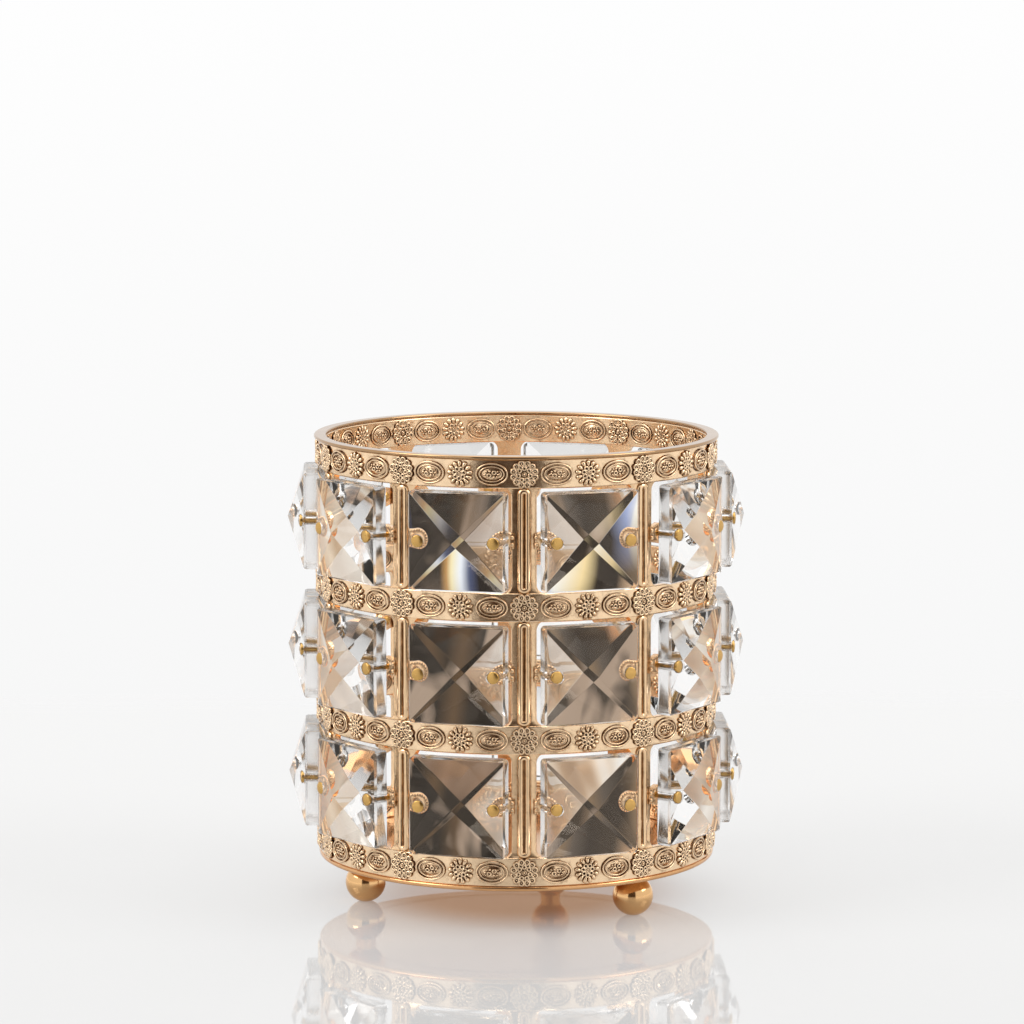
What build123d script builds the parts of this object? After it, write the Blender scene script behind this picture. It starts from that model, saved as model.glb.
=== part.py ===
from build123d import *
import math
import os

# Makeup brush holder: an open round cage on three ball feet, with a faceted crystal in each window.
# Millimetres, +Z up. The origin is on the surface the holder stands on, under the middle of the cup.
# The front is -Y, where the first upright bar stands, and angles run from there towards +X.

# Counts
bay_count = 10
row_count = 3
foot_count = 3
motifs_per_bay = 4

# Crystals: square girdle, a pyramid on the front and a lower one on the back
crystal_size = 24.0
crystal_corner_radius = 1.4
girdle_thickness = 3.4
front_pyramid_height = 4.2
back_pyramid_height = 3.6
crystal_hole_radius = 1.0
crystal_hole_inset = 2.65

# Gaps between a crystal and its window
crystal_side_gap = 0.8
crystal_row_gap = 0.56

# Upright bars, with two ridges down the front and rounded window corners
bar_width = 6.0
bar_thickness = 1.6
bar_lap_thickness = 1.0
ridge_radius = 0.9
ridge_spacing = 2.0
window_corner_radius = 1.5

# Ears on the bars, which carry the pins behind the crystals
ear_radius = 2.5
ear_thickness = 1.2
ear_gap = 0.1
ear_root = 1.5

# Pins: flat round head, plain shank, peened tail
pin_radius = 0.8
pin_head_radius = 1.45
pin_head_thickness = 1.1
pin_head_rounding = 0.3
pin_tail_radius = 1.2
pin_tail_thickness = 0.5
pin_seat_rise = 0.15
pin_seat_gap = 0.15
ear_hole_gap = 0.1

# Ornamented bands: rosettes and ovals by turns, raised from a plain wall
band_height = 7.0
band_thickness = 2.0
relief_height = 0.8
relief_root = 0.4
rosette_margin = 0.1
rosette_disc_height = 0.45
rosette_boss_radius = 1.2
oval_margin = 0.7
oval_bead_radius = 1.0
motif_gap = 0.4
motif_rim_width = 0.7

# Lip ring on the top band
lip_height = 0.86
lip_overhang = 1.0
lip_rounding = 0.3

# Base plate
plate_thickness = 1.2
plate_overhang = 0.2
plate_rounding = 0.5

# Ball feet and their screws
foot_height = 10.62
foot_ball_radius = 5.0
foot_flat_depth = 0.15
foot_neck_radius = 2.5
foot_edge_distance = 10.03
first_foot_angle = 44.7
screw_radius = 1.4
screw_reach = 4.5
screw_gap = 0.1
screw_tip_gap = 0.5
screw_head_radius = 2.8
screw_head_height = 1.6
screw_head_rounding = 0.7
screw_slot_width = 0.9
screw_slot_length = 3.2
screw_slot_depth = 0.8

# Places across the cup that follow from the sizes
bay_angle = 360 / bay_count
half_bay = math.radians(bay_angle / 2)
half_crystal = crystal_size / 2
bar_to_crystal = bar_width / 2 + crystal_side_gap
wall_radius = (bar_to_crystal + half_crystal * math.cos(half_bay)) / math.sin(half_bay)
inner_radius = wall_radius - band_thickness
foot_circle_radius = wall_radius - foot_edge_distance
crystal_back = wall_radius
crystal_front = crystal_back + girdle_thickness
crystal_inner_apex = crystal_back - back_pyramid_height
crystal_outer_apex = crystal_front + front_pyramid_height
pin_offset = half_crystal - crystal_hole_inset
pin_seat = crystal_front + pin_seat_rise
ear_tip = pin_offset - ear_radius
ear_front = crystal_back - back_pyramid_height * (1 - ear_tip / half_crystal) - ear_gap
ear_back = ear_front - ear_thickness
ear_root_offset = (ear_front * math.sin(half_bay) - ear_root) / math.cos(half_bay)

# Heights that follow from the sizes
window_height = crystal_size + 2 * crystal_row_gap
row_pitch = window_height + band_height
plate_top = foot_height + plate_thickness
cage_height = row_count * row_pitch + band_height
lip_bottom = plate_top + cage_height

# Ornament that follows from the sizes
motif_count = motifs_per_bay * bay_count
motif_pitch = 2 * math.pi * wall_radius / motif_count
rosette_radius = band_height / 2 - rosette_margin
oval_half_height = band_height / 2 - oval_margin
oval_half_length = motif_pitch - motif_gap - rosette_radius


def turned(angle, shape):
    """The shape turned about the cup's axis, from the front towards +X."""
    return Rot(0, 0, angle) * shape


def raised(sketch, start, end):
    """A sketch seen from the front, made solid between two distances from the cup's axis."""
    return extrude(Plane.XZ.offset(start) * sketch, end - start)


def band_bottom(level):
    """Height of a band's lower edge; level 0 stands on the base plate."""
    return plate_top + level * row_pitch


def row_middle(row):
    """Height of a row's middle; row 0 is the lowest."""
    return band_bottom(row) + band_height + window_height / 2


def standing_ring(outer, inner, height):
    """A plain ring about the cup's axis, its lower edge at height 0."""
    return Pos(0, 0, height / 2) * (Cylinder(outer, height) - Cylinder(inner, height))


def crystal():
    """A crystal at the front, level with the origin: two crossed roof shapes and a square block."""
    profile = [
        (-half_crystal, -crystal_back),
        (0, -crystal_inner_apex),
        (half_crystal, -crystal_back),
        (half_crystal, -crystal_front),
        (0, -crystal_outer_apex),
        (-half_crystal, -crystal_front),
    ]
    from_above = Plane.XY * Polygon(*profile, align=None)
    from_the_side = Plane((0, 0, 0), x_dir=(0, 0, 1), z_dir=(-1, 0, 0)) * Polygon(*profile, align=None)
    outline = RectangleRounded(crystal_size, crystal_size, crystal_corner_radius)
    body = raised(outline, crystal_inner_apex, crystal_outer_apex)
    body &= extrude(from_above, half_crystal, both=True)
    body &= extrude(from_the_side, half_crystal, both=True)
    for side in (-1, 1):
        at_pin = Pos(side * pin_offset, 0)
        body -= raised(at_pin * Circle(crystal_hole_radius), crystal_inner_apex, crystal_outer_apex)
        seat = at_pin * Circle(pin_head_radius + pin_seat_gap)
        body -= raised(seat, pin_seat, crystal_outer_apex)
    return body


def pin():
    """A pin at the front, level with the origin and in line with the cup's axis."""
    head = raised(Circle(pin_head_radius), pin_seat, pin_seat + pin_head_thickness)
    head = fillet(head.edges().group_by(Axis.Y)[0], pin_head_rounding)
    shank = raised(Circle(pin_radius), ear_back, pin_seat)
    tail = raised(Circle(pin_tail_radius), ear_back - pin_tail_thickness, ear_back)
    return head + shank + tail


def row_of_pins(row):
    """Two pins through each crystal of a row."""
    pins = []
    for bay in range(bay_count):
        for side in (-1, 1):
            placed = Pos(side * pin_offset, 0, row_middle(row)) * pin()
            pins.append(turned((bay + 0.5) * bay_angle, placed))
    return Compound(pins)


def ear(side):
    """An ear behind a crystal at the front, level with the origin, with its root in the bar beside it."""
    reach = ear_root_offset - pin_offset
    outline = Circle(ear_radius) + Pos(reach / 2, 0) * Rectangle(reach, 2 * ear_radius)
    outline -= Circle(pin_radius + ear_hole_gap)
    plate = raised(Pos(pin_offset, 0) * outline, ear_back, ear_front)
    return plate if side > 0 else mirror(plate, Plane.YZ)


def bar_stretch():
    """A bar between two bands: widened at both ends by the window corners, with two ridges."""
    half_width = bar_width / 2
    radius = window_corner_radius
    window = RectangleRounded(4 * radius, window_height, radius)
    outline = Rectangle(bar_width + 2 * radius, window_height)
    for side in (-1, 1):
        outline -= Pos(side * (half_width + 2 * radius), 0) * window
    stretch = raised(outline, inner_radius, inner_radius + bar_thickness)
    for side in (-1, 1):
        ridge_place = Pos(side * ridge_spacing / 2, -inner_radius - bar_thickness, 0)
        stretch += ridge_place * Cylinder(ridge_radius, window_height)
    return stretch


def upright_bar():
    """A bar at the front, from the base plate to the lip ring, thinned to a lap behind each band."""
    lap = raised(Rectangle(bar_width, cage_height), inner_radius, inner_radius + bar_lap_thickness)
    bar = Pos(0, 0, plate_top + cage_height / 2) * lap
    for row in range(row_count):
        stretch = bar_stretch()
        for side in (-1, 1):
            stretch += turned(-side * bay_angle / 2, ear(side))
        bar += Pos(0, 0, row_middle(row)) * stretch
    return bar


def rosette():
    """A disc with a raised rim and a boss, level with the origin at the front."""
    root = wall_radius - relief_root
    crest = wall_radius + relief_height
    disc = raised(Circle(rosette_radius), root, wall_radius + rosette_disc_height)
    rim = raised(Circle(rosette_radius) - Circle(rosette_radius - motif_rim_width), root, crest)
    boss = Pos(0, rosette_boss_radius - crest, 0) * Sphere(rosette_boss_radius)
    return disc + rim + boss


def oval():
    """An oval rim round a bead, level with the origin at the front."""
    crest = wall_radius + relief_height
    outline = Ellipse(oval_half_length, oval_half_height)
    outline -= Ellipse(oval_half_length - motif_rim_width, oval_half_height - motif_rim_width)
    bead = Pos(0, oval_bead_radius - crest, 0) * Sphere(oval_bead_radius)
    return [raised(outline, wall_radius - relief_root, crest), bead]


def band():
    """An ornamented band, its lower edge at height 0, with a notch inside for each bar's lap."""
    wall = standing_ring(wall_radius, inner_radius, band_height)
    lift = Pos(0, 0, band_height / 2)
    notch_start = inner_radius - bar_lap_thickness
    notch_end = inner_radius + bar_lap_thickness
    notch = lift * raised(Rectangle(bar_width, band_height), notch_start, notch_end)
    motifs = []
    for number in range(motif_count):
        shapes = [rosette()] if number % 2 == 0 else oval()
        motifs += [turned(number * 360 / motif_count, lift * shape) for shape in shapes]
    notches = [turned(bay * bay_angle, notch) for bay in range(bay_count)]
    return wall + motifs - notches


def lip_ring():
    """The plain ring that closes the top band, with rounded edges."""
    ring = standing_ring(wall_radius + lip_overhang, inner_radius, lip_height)
    ring = fillet(ring.edges(), lip_rounding)
    return Pos(0, 0, lip_bottom) * ring


def foot_place(number):
    """A foot's angle about the cup's axis."""
    return first_foot_angle + number * 360 / foot_count


def base_plate():
    """The cup's floor: a disc with a rounded edge and a hole for each foot's screw."""
    disc = Cylinder(wall_radius + plate_overhang, plate_thickness)
    disc = fillet(disc.edges(), plate_rounding)
    hole = Pos(0, -foot_circle_radius, 0) * Cylinder(screw_radius + screw_gap, plate_thickness)
    disc -= [turned(foot_place(number), hole) for number in range(foot_count)]
    return Pos(0, 0, foot_height + plate_thickness / 2) * disc


def ball_foot():
    """A ball at the front with a small flat below, a neck above and a blind hole for its screw."""
    ball_middle = foot_ball_radius - foot_flat_depth
    ball = Pos(0, 0, ball_middle) * Sphere(foot_ball_radius)
    neck = Pos(0, 0, (ball_middle + foot_height) / 2)
    foot = ball + neck * Cylinder(foot_neck_radius, foot_height - ball_middle)
    below = Pos(0, 0, -foot_ball_radius / 2)
    foot -= below * Box(2 * foot_ball_radius, 2 * foot_ball_radius, foot_ball_radius)
    hole_depth = screw_reach + screw_tip_gap
    hole = Pos(0, 0, foot_height - hole_depth / 2)
    foot -= hole * Cylinder(screw_radius + screw_gap, hole_depth)
    return Pos(0, -foot_circle_radius, 0) * foot


def foot_screw():
    """A cross-slotted screw at the front, its head on the base plate and its shank in the foot."""
    head = Cylinder(screw_head_radius, screw_head_height)
    head = fillet(head.edges().group_by(Axis.Z)[-1], screw_head_rounding)
    slot_place = Pos(0, 0, (screw_head_height - screw_slot_depth) / 2)
    head -= slot_place * Box(screw_slot_length, screw_slot_width, screw_slot_depth)
    head -= slot_place * Box(screw_slot_width, screw_slot_length, screw_slot_depth)
    shank_length = plate_thickness + screw_reach
    shank = Pos(0, 0, plate_top - shank_length / 2) * Cylinder(screw_radius, shank_length)
    screw = Pos(0, 0, plate_top + screw_head_height / 2) * head + shank
    return Pos(0, -foot_circle_radius, 0) * screw


def all_pieces():
    """Every piece by its node's name, in its place."""
    pieces = {"lip_ring": lip_ring(), "base_plate": base_plate()}
    one_band = band()
    for level in range(row_count + 1):
        pieces[f"ornament_band_{level + 1}"] = Pos(0, 0, band_bottom(level)) * one_band
    one_bar = upright_bar()
    for bay in range(bay_count):
        pieces[f"upright_bar_{bay + 1:02d}"] = turned(bay * bay_angle, one_bar)
    one_crystal = crystal()
    for row in range(row_count):
        at_row = Pos(0, 0, row_middle(row)) * one_crystal
        for bay in range(bay_count):
            name = f"crystal_row{row + 1}_{bay + 1:02d}"
            pieces[name] = turned((bay + 0.5) * bay_angle, at_row)
        pieces[f"crystal_pins_row{row + 1}"] = row_of_pins(row)
    for number in range(foot_count):
        pieces[f"ball_foot_{number + 1}"] = turned(foot_place(number), ball_foot())
    screws = [turned(foot_place(number), foot_screw()) for number in range(foot_count)]
    pieces["foot_screws"] = Compound(screws)
    return pieces


os.makedirs("parts", exist_ok=True)
for name, piece in all_pieces().items():
    export_step(piece, f"parts/{name}.step")
    print(f"{name}: {len(piece.solids())} solid(s), {piece.volume:.1f} mm3")
print(f"wall radius {wall_radius:.2f}, overall width {2 * crystal_outer_apex:.2f}")
print(f"overall height {lip_bottom + lip_height:.2f}")
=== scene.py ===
import math

import bmesh
import bpy
from mathutils import Matrix, Vector


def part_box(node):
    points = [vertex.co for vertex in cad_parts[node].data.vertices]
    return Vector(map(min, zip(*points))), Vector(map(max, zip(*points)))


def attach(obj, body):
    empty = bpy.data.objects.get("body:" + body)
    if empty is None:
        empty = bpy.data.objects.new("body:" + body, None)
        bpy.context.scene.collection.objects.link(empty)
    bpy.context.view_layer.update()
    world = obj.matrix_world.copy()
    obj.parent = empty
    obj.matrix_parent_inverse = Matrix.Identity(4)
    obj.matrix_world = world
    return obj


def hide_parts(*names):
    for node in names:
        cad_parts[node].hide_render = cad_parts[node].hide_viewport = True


bl_info = {
    "name": "Crystal Brush Cup",
    "version": (1, 0, 0),
    "blender": (4, 5, 0),
    "location": "3D View > Sidebar > Brush Cup",
    "description": "Dresses a round openwork brush cup with cast bands, faceted crystals, pins and ball feet",
    "category": "Add Mesh",
}

MM = 0.001
MERGE_DISTANCE = 0.002 * MM
HOLDING_DISTANCE = 0.05 * MM
NEAR = 0.01 * MM
ROUND_STEPS = 180

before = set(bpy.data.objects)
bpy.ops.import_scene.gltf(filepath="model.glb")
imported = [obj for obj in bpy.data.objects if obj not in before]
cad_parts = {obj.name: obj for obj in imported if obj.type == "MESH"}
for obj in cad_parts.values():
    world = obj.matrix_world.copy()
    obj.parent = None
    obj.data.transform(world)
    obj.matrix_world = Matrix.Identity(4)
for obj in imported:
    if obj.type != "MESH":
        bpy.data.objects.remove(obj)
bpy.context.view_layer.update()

ROWS = range(1, 4)
BAYS = range(1, 11)
BAND_LEVELS = range(1, 5)
FEET = range(1, 4)
BAY_ANGLE = 2 * math.pi / len(BAYS)
MOTIFS_PER_BAY = 4

# The ornament inside the bands: shares of the outer ornament's relief and faces
INSIDE_RELIEF = 0.6
INSIDE_FACES = 0.45

# How far from a bar's middle plane its ears end
EAR_TO_BAR_MIDDLE = 2.5 * MM

# Crystals: edges above the angle stay sharp, and faces are ground where their normal rises less
FACET_ANGLE = math.radians(12)
FACET_SLOPE = 0.93

# Places read from the frame
BAND_LOW, BAND_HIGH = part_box("ornament_band_1")
NEXT_BAND_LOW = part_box("ornament_band_2")[0]
LIP_LOW, LIP_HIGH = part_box("lip_ring")
PLATE_LOW, PLATE_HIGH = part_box("base_plate")
SIDE_CRYSTAL_LOW, SIDE_CRYSTAL_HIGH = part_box("crystal_row1_03")
BAND_CREST = BAND_HIGH.x
BAND_HEIGHT = BAND_HIGH.z - BAND_LOW.z
CRYSTAL_SIZE = SIDE_CRYSTAL_HIGH.z - SIDE_CRYSTAL_LOW.z
INNER_APEX = SIDE_CRYSTAL_LOW.x
OUTER_APEX = SIDE_CRYSTAL_HIGH.x


def length(name, description, default):
    """A length property in metres."""
    return bpy.props.FloatProperty(
        name=name, description=description, default=default, min=0.0, unit="LENGTH", precision=5
    )


def colour(name, description, default):
    """A colour property without alpha."""
    return bpy.props.FloatVectorProperty(
        name=name, description=description, default=default, size=3, min=0.0, max=1.0, subtype="COLOR"
    )


def angle(name, description, default):
    """An angle property in radians."""
    return bpy.props.FloatProperty(name=name, description=description, default=default, subtype="ANGLE")


def number(name, description, default):
    """A plain number property."""
    return bpy.props.FloatProperty(name=name, description=description, default=default)


class CageSizes(bpy.types.PropertyGroup):
    """Sizes of the bands, bars, lip and floor of the cup."""

    relief: length("Relief", "Height of the ornament over the band's wall", 0.8 * MM)
    wall: length("Wall", "Thickness of a band's wall", 2.0 * MM)
    edge: length("Edge", "Rounding of the bands' edges", 0.28 * MM)
    lip_rounding: length("Lip rounding", "Rounding of the lip ring", 0.36 * MM)
    plate_rounding: length("Plate rounding", "Rounding of the floor plate's edge", 0.5 * MM)
    bar_width: length("Bar width", "Width of an upright bar", 6.0 * MM)
    bar_thickness: length("Bar thickness", "Thickness of a bar under its ridges", 1.6 * MM)
    bar_edge: length("Bar edge", "Rounding of a bar's front edges", 0.22 * MM)
    ridge_radius: length("Ridge radius", "Half the width of a bar's ridge", 0.84 * MM)
    ridge_spacing: length("Ridge spacing", "Distance between a bar's two ridges", 1.75 * MM)
    window_corner: length("Window corner", "Radius of a window's corners", 2.2 * MM)
    ear_radius: length("Ear radius", "Radius of the ear behind a crystal", 2.5 * MM)
    ear_thickness: length("Ear thickness", "Thickness of an ear", 1.2 * MM)
    ear_front: length("Ear front", "Distance of an ear's front from the cup's axis", 47.585 * MM)


class CrystalSizes(bpy.types.PropertyGroup):
    """Sizes of a crystal and its pins."""

    girdle: length("Girdle", "Thickness of the crystal's square edge", 3.4 * MM)
    front: length("Front pyramid", "Height of the front pyramid", 4.2 * MM)
    corner: length("Corner", "Radius of the square's corners", 1.1 * MM)
    border: length("Border", "Width of the polished border round the front", 0.42 * MM)
    facet_edge: length("Facet edge", "Rounding of the edges between facets", 0.07 * MM)
    hole_inset: length("Hole inset", "Distance from the crystal's side to a pin's middle", 2.65 * MM)
    hole_radius: length("Hole radius", "Radius of a pin hole", 1.0 * MM)
    seat_radius: length("Seat radius", "Radius of the flat under a pin's head", 1.6 * MM)
    seat_rise: length("Seat rise", "Height of that flat over the girdle", 0.15 * MM)
    pin_radius: length("Pin radius", "Radius of a pin's shank", 0.8 * MM)
    head_radius: length("Head radius", "Radius of a pin's head", 1.5 * MM)
    head_height: length("Head height", "Height of a pin's head", 1.1 * MM)
    tail_radius: length("Tail radius", "Radius of a pin's peened tail", 1.2 * MM)
    tail_height: length("Tail height", "Height of a pin's peened tail", 0.5 * MM)


class FootSizes(bpy.types.PropertyGroup):
    """Sizes of a ball foot."""

    ball_radius: length("Ball radius", "Radius of the ball", 5.0 * MM)
    flat: length("Flat", "Depth of the flat the ball stands on", 0.15 * MM)
    neck_radius: length("Neck radius", "Radius of the neck above the ball", 2.5 * MM)
    neck_fillet: length("Neck fillet", "Radius where the neck runs into the ball", 0.5 * MM)


class Finishes(bpy.types.PropertyGroup):
    """Colours of the metals, the glass and the stage."""

    cage: colour("Cage", "Champagne plating of the bands", (1.0, 0.735, 0.475))
    bar: colour("Bar", "Champagne plating of the bars", (0.96, 0.665, 0.40))
    # Recess: colour of the painted shade and the stains in the metals' recesses
    recess: colour("Recess", "Darkened plating in the recesses", (0.20, 0.085, 0.026))
    # The lip's tone is darker than the bands' plating: painted shade, which dims the bright light the lip
    # catches from above
    lip: colour("Lip", "Polished plating of the lip", (0.48, 0.297, 0.156))
    plate: colour("Plate", "Warm plating of the floor plate", (0.74, 0.41, 0.19))
    pin: colour("Pin", "Yellow brass of the pins", (0.68, 0.41, 0.13))
    foot: colour("Foot", "Satin gold of the feet", (0.83, 0.50, 0.23))
    screw: colour("Screw", "Zinc of the screws", (0.56, 0.54, 0.50))
    glass: colour("Glass", "Tint of the crystals", (0.985, 0.975, 0.962))
    ground_glass: colour("Ground glass", "Tint of the crystals' ground edges", (0.84, 0.815, 0.79))
    sheen: colour("Sheen", "Tint of what the crystals reflect", (0.6, 0.51, 0.42))
    floor: colour("Floor", "Grey of the table, which its glow lifts to white", (0.40, 0.40, 0.40))


class StageSizes(bpy.types.PropertyGroup):
    """The camera and the stage it sees."""

    camera_distance: length("Camera distance", "Distance of the camera from the cup's axis", 1.082)
    camera_height: length("Camera height", "Height of the camera over the table", 0.2398)
    camera_azimuth: angle(
        "Camera azimuth", "Angle of the camera about the cup, from the front towards -X", math.radians(2.207)
    )
    camera_pitch: angle("Camera pitch", "Angle at which the camera looks down", 0.132)
    focal_pixels: number("Focal length", "Focal length in pixels of the image", 4386.0)
    image_pixels: number("Image width", "Width of the image in pixels", 1024.0)
    axis_pixel: number("Axis column", "Image column in which the cup's axis stands", 516.3)
    table_behind: length("Table behind", "How far the table reaches behind the cup", 0.29)
    table_reach: length("Table reach", "How far the table reaches to the other sides", 2.2)


# Modelling by hand


def deselect():
    """Object mode, with nothing selected."""
    if bpy.context.mode != "OBJECT":
        bpy.ops.object.mode_set(mode="OBJECT")
    bpy.ops.object.select_all(action="DESELECT")


def choose(piece):
    """Makes a piece the active one and the only one selected."""
    deselect()
    bpy.context.view_layer.objects.active = piece
    piece.select_set(True)


def edit(piece):
    """Edit mode on one piece."""
    choose(piece)
    bpy.ops.object.mode_set(mode="EDIT")


def named(name, smooth_angle=None):
    """The active piece, named, with its place in its mesh; shaded smooth below an angle in degrees."""
    if bpy.context.mode != "OBJECT":
        bpy.ops.object.mode_set(mode="OBJECT")
    piece = bpy.context.object
    piece.name = name
    piece.data.name = name
    bpy.ops.object.transform_apply()
    if smooth_angle is not None:
        bpy.ops.object.shade_smooth_by_angle(angle=math.radians(smooth_angle))
    return piece


def select_edges(piece, wanted):
    """Selects the edges of the piece in edit mode that pass a test of their two ends."""
    bpy.ops.mesh.select_mode(type="EDGE")
    bpy.ops.mesh.select_all(action="DESELECT")
    shape = bmesh.from_edit_mesh(piece.data)
    for edge in shape.edges:
        if wanted(edge.verts[0].co, edge.verts[1].co):
            edge.select_set(True)
    bmesh.update_edit_mesh(piece.data)


def select_faces(piece, wanted):
    """Selects the faces of the piece in edit mode that pass a test of their normal."""
    bpy.ops.mesh.select_mode(type="FACE")
    bpy.ops.mesh.select_all(action="DESELECT")
    shape = bmesh.from_edit_mesh(piece.data)
    for face in shape.faces:
        if wanted(face.normal):
            face.select_set(True)
    bmesh.update_edit_mesh(piece.data)


def clean(smooth_angle, name):
    """Merges doubles, turns every face outwards and finishes the piece in edit mode."""
    bpy.ops.mesh.select_all(action="SELECT")
    bpy.ops.mesh.remove_doubles(threshold=MERGE_DISTANCE)
    bpy.ops.mesh.normals_make_consistent(inside=False)
    return named(name, smooth_angle)


def arc(middle, radius, start, end, steps):
    """Points on an arc in a plane, from one angle to another in degrees."""
    angles = [math.radians(start + (end - start) * step / steps) for step in range(steps + 1)]
    return [(middle[0] + radius * math.cos(a), middle[1] + radius * math.sin(a)) for a in angles]


def drawn_line(points):
    """A line of vertices, drawn by extruding one vertex from point to point; stays in edit mode."""
    deselect()
    bpy.ops.mesh.primitive_plane_add(size=MM, location=points[0])
    bpy.ops.object.transform_apply()
    bpy.ops.object.mode_set(mode="EDIT")
    bpy.ops.mesh.select_mode(type="VERT")
    bpy.ops.mesh.select_all(action="SELECT")
    bpy.ops.mesh.merge(type="CENTER")
    for here, there in zip(points, points[1:]):
        step = tuple(b - a for a, b in zip(here, there))
        bpy.ops.mesh.extrude_region_move(TRANSFORM_OT_translate={"value": step})
    return bpy.context.object


def held_flat(outline):
    """The outline with a point close to each end of its long stretches, so that they shade flat."""
    points = []
    for start, end in zip(outline, outline[1:]):
        points.append(start)
        stretch = math.dist(start, end)
        if stretch > MM:
            share = HOLDING_DISTANCE / stretch
            for part in (share, 1 - share):
                points.append(tuple(a + (b - a) * part for a, b in zip(start, end)))
    return points + [outline[-1]]


def lathed(name, outline, steps, smooth_angle=35):
    """A turned piece: an outline of radius and height, spun about the Z axis."""
    drawn_line([(radius, 0, height) for radius, height in held_flat(outline)])
    bpy.ops.mesh.select_all(action="SELECT")
    bpy.ops.mesh.spin(steps=steps, angle=2 * math.pi, center=(0, 0, 0), axis=(0, 0, 1))
    return clean(smooth_angle, name)


def rounded_section(inner, outer, low, high, rounding, steps=4):
    """The closed outline of a ring's section with rounded corners."""
    corners = [
        ((outer - rounding, low + rounding), -90),
        ((outer - rounding, high - rounding), 0),
        ((inner + rounding, high - rounding), 90),
        ((inner + rounding, low + rounding), 180),
    ]
    points = []
    for middle, start in corners:
        points += arc(middle, rounding, start, start + 90, steps)
    return points + points[:1]


def cut_plate(name, outline, thickness, rounding):
    """A flat plate from its outline in XY, standing up to its thickness, with a rounded front edge."""
    piece = drawn_line([(x, y, 0) for x, y in outline + outline[:1]])
    bpy.ops.mesh.select_all(action="SELECT")
    bpy.ops.mesh.remove_doubles(threshold=MERGE_DISTANCE)
    bpy.ops.mesh.edge_face_add()
    bpy.ops.mesh.extrude_region_move(TRANSFORM_OT_translate={"value": (0, 0, thickness)})
    bpy.ops.mesh.select_all(action="SELECT")
    bpy.ops.mesh.normals_make_consistent(inside=False)
    select_edges(piece, lambda a, b: min(a.z, b.z) > thickness - NEAR)
    bpy.ops.mesh.bevel(offset=rounding, segments=2, affect="EDGES")
    return clean(30, name)


def bead(name, size, place, segments=8, rings=5):
    """A small bead, squashed to its size in X, Y and Z."""
    deselect()
    bpy.ops.mesh.primitive_uv_sphere_add(segments=segments, ring_count=rings, radius=1.0, location=place)
    bpy.context.object.scale = size
    return named(name, 60)


def copied(master, place):
    """A copy of the piece with its own mesh, moved by a matrix."""
    copy = master.copy()
    copy.data = master.data.copy()
    copy.data.transform(place)
    bpy.context.scene.collection.objects.link(copy)
    return copy


def joined(name, parts):
    """Several pieces joined into one."""
    deselect()
    for part in parts:
        part.select_set(True)
    bpy.context.view_layer.objects.active = parts[0]
    bpy.ops.object.join()
    return named(name)


def repeated(name, master, places, keep=False):
    """Copies of the piece at several places, joined into one."""
    row = joined(name, [copied(master, place) for place in places])
    if not keep:
        bpy.data.objects.remove(master)
    return row


def around(count, radius, start=0.0):
    """Places on a circle in XY, each turned so that its Y axis points outwards."""
    places = []
    for step in range(count):
        turn = Matrix.Rotation(start + 2 * math.pi * step / count, 4, "Z")
        places.append(turn @ Matrix.Translation((0, radius, 0)))
    return places


def upright(distance, height):
    """Stands a flat relief up at the front: Y becomes up, and Z points out from the cup."""
    return Matrix.Translation((0, -distance, height)) @ Matrix.Rotation(math.pi / 2, 4, "X")


def turned(turn):
    """A turn about the cup's axis, from the front towards +X."""
    return Matrix.Rotation(turn, 4, "Z")


def wrapped(piece, radius, side=1):
    """Bends a flat relief round the cup, standing out from a radius or, with side -1, in from it."""
    for vertex in piece.data.vertices:
        across, up, out = vertex.co
        distance = radius + side * out
        turn = across / radius
        vertex.co = (distance * math.sin(turn), -distance * math.cos(turn), up)
    if side < 0:
        piece.data.flip_normals()
    return piece


def modified(piece, kind, **settings):
    """The piece with a modifier of a kind applied to it."""
    bpy.context.view_layer.objects.active = piece
    modifier = piece.modifiers.new(kind, kind)
    for key, value in settings.items():
        setattr(modifier, key, value)
    bpy.ops.object.modifier_apply(modifier=modifier.name)
    return piece


def finished(piece, material, cad_node):
    """Gives the piece its material, if any, rides it on the cup and hides the node it stands for."""
    if material:
        piece.data.materials.clear()
        piece.data.materials.append(material)
    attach(piece, "root")
    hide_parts(cad_node)


def set_in_place(master, place, name, material, cad_node):
    """A named copy of a master, moved to its place and finished."""
    piece = copied(master, place)
    piece.name = name
    finished(piece, material, cad_node)


# Shader groups and materials


def feed(tree, taker, inputs):
    """Sets a node's inputs, each to a value or to a node and the name of its output."""
    for socket, value in inputs.items():
        if isinstance(value, tuple) and isinstance(value[0], bpy.types.Node):
            source, output = value
            tree.links.new(source.outputs[output], taker.inputs[socket])
        else:
            taker.inputs[socket].default_value = value


def node(tree, kind, place, inputs=None, **settings):
    """A shader node at a place in the editor, with its settings and its inputs."""
    made = tree.nodes.new(kind)
    made.location = place
    for key, value in settings.items():
        setattr(made, key, value)
    feed(tree, made, inputs or {})
    return made


def noise(tree, place, vector, scale, detail, roughness=0.5):
    """Noise over a surface."""
    inputs = {"Vector": vector, "Scale": scale, "Detail": detail, "Roughness": roughness}
    return node(tree, "ShaderNodeTexNoise", place, inputs), "Fac"


def remapped(tree, place, value, old=(0.0, 1.0), new=(0.0, 1.0), **settings):
    """A value brought from an old range to a new one, and held inside it."""
    ends = dict(zip(("From Min", "From Max", "To Min", "To Max"), (*old, *new)))
    return node(tree, "ShaderNodeMapRange", place, {"Value": value, **ends}, **settings), "Result"


def computed(tree, place, operation, *values, **settings):
    """What a sum makes of one or more values."""
    inputs = dict(enumerate(values))
    return node(tree, "ShaderNodeMath", place, inputs, operation=operation, **settings), "Value"


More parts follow.
